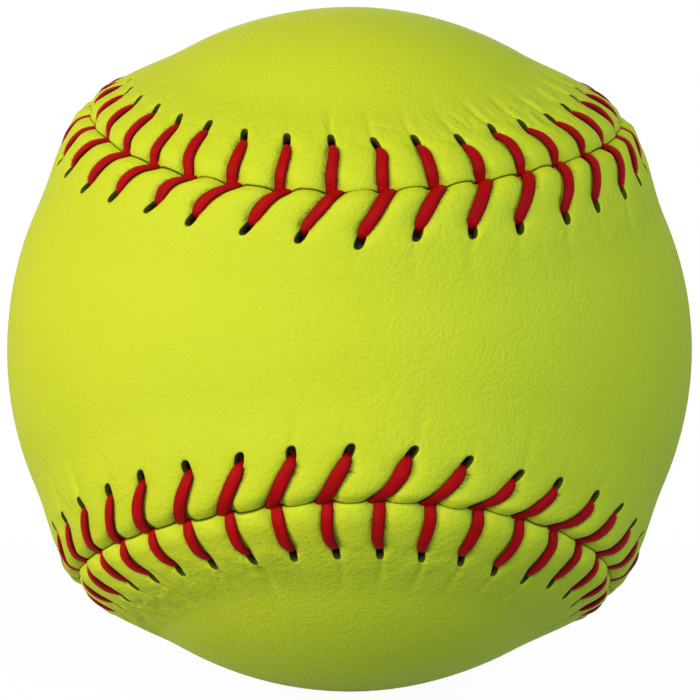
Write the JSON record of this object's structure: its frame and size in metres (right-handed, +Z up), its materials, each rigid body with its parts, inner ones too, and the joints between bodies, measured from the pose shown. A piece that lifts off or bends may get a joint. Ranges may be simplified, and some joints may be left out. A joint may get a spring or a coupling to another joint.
{
  "type": "softball",
  "caption": "Optic-yellow softball: foam core, cement coat, two peanut-shaped cover panels and two red thread strands laced in V stitches along a raised seam.",
  "frame": {"origin": "centre of the ball", "axes": "-Y points out of the waist of the front cover panel, its lobes lie along X, and +Z is up, out of a lobe of the back cover panel"},
  "size_m": [0.0888, 0.0896, 0.0888],
  "materials": {
    "core": "matte, fine closed-cell foam skin",
    "cement": "thin dried latex film",
    "cover": "fine pebble grain, low sheen",
    "thread": "waxed multi-ply thread, slightly fuzzy"
  },
  "bodies": {
    "root": {"core": "core", "cement_coat": "cement", "front_cover_panel": "cover", "back_cover_panel": "cover", "first_thread_strand": "thread", "second_thread_strand": "thread"}
  },
  "joints": []
}
